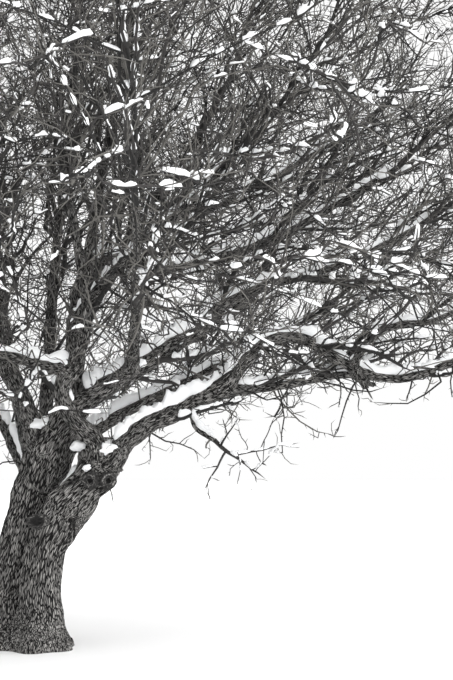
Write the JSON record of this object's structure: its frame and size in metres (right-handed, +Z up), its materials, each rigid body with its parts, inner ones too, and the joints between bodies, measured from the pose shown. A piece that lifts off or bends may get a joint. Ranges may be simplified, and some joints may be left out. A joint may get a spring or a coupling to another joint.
{
  "type": "bare winter tree",
  "caption": "Leafless old fruit tree with stems fused at the foot, low spreading boughs, dense twigs and caps of snow, fixed in the ground by the flat cut under its trunk.",
  "frame": {"origin": "middle of the flat cut under the trunk, at ground level", "axes": "+Z up, +X towards the side of the low bough, +Y away from the picture's viewpoint"},
  "size_m": [10.7291, 10.1187, 7.5199],
  "materials": {
    "bark": "rough furrowed bark",
    "twigs": "matt bark of young twigs",
    "snow": "settled snow"
  },
  "bodies": {
    "root": {"arched_bough": "bark", "arched_snow": "snow", "arched_twigs": "twigs", "back_low_bough": "bark", "back_low_twigs": "twigs", "back_slant_bough": "bark", "back_slant_twigs": "twigs", "back_sweep_bough": "bark", "back_sweep_twigs": "twigs", "back_upright_bough": "bark", "back_upright_twigs": "twigs", "crossing_bough": "bark", "dark_bough": "bark", "dark_snow": "snow", "elbow_bough": "bark", "elbow_snow": "snow", "elbow_twigs": "twigs", "far_bough": "bark", "far_twigs": "twigs", "forward_bough": "bark", "forward_twigs": "twigs", "front_bough": "bark", "front_twigs": "twigs", "hanging_bough": "bark", "hanging_twigs": "twigs", "high_bough": "bark", "high_twigs": "twigs", "hind_bough": "bark", "hind_twigs": "twigs", "leaning_bough": "bark", "leaning_twigs": "twigs", "left_low_bough": "bark", "left_low_twigs": "twigs", "left_slant_bough": "bark", "left_slant_twigs": "twigs", "left_sweep_bough": "bark", "left_sweep_twigs": "twigs", "left_upright_bough": "bark", "left_upright_twigs": "twigs", "low_bough": "bark", "middle_bough": "bark", "middle_snow": "snow", "middle_twigs": "twigs", "near_bough": "bark", "near_twigs": "twigs", "rising_bough": "bark", "rising_twigs": "twigs", "shelf_bough": "bark", "shelf_twigs": "twigs", "spreading_bough": "bark", "spreading_twigs": "twigs", "steep_bough": "bark", "steep_twigs": "twigs", "trunk": "bark", "under_bough": "bark", "under_twigs": "twigs", "upright_bough": "bark", "upright_twigs": "twigs", "wavy_bough": "bark", "wavy_twigs": "twigs"}
  },
  "joints": []
}
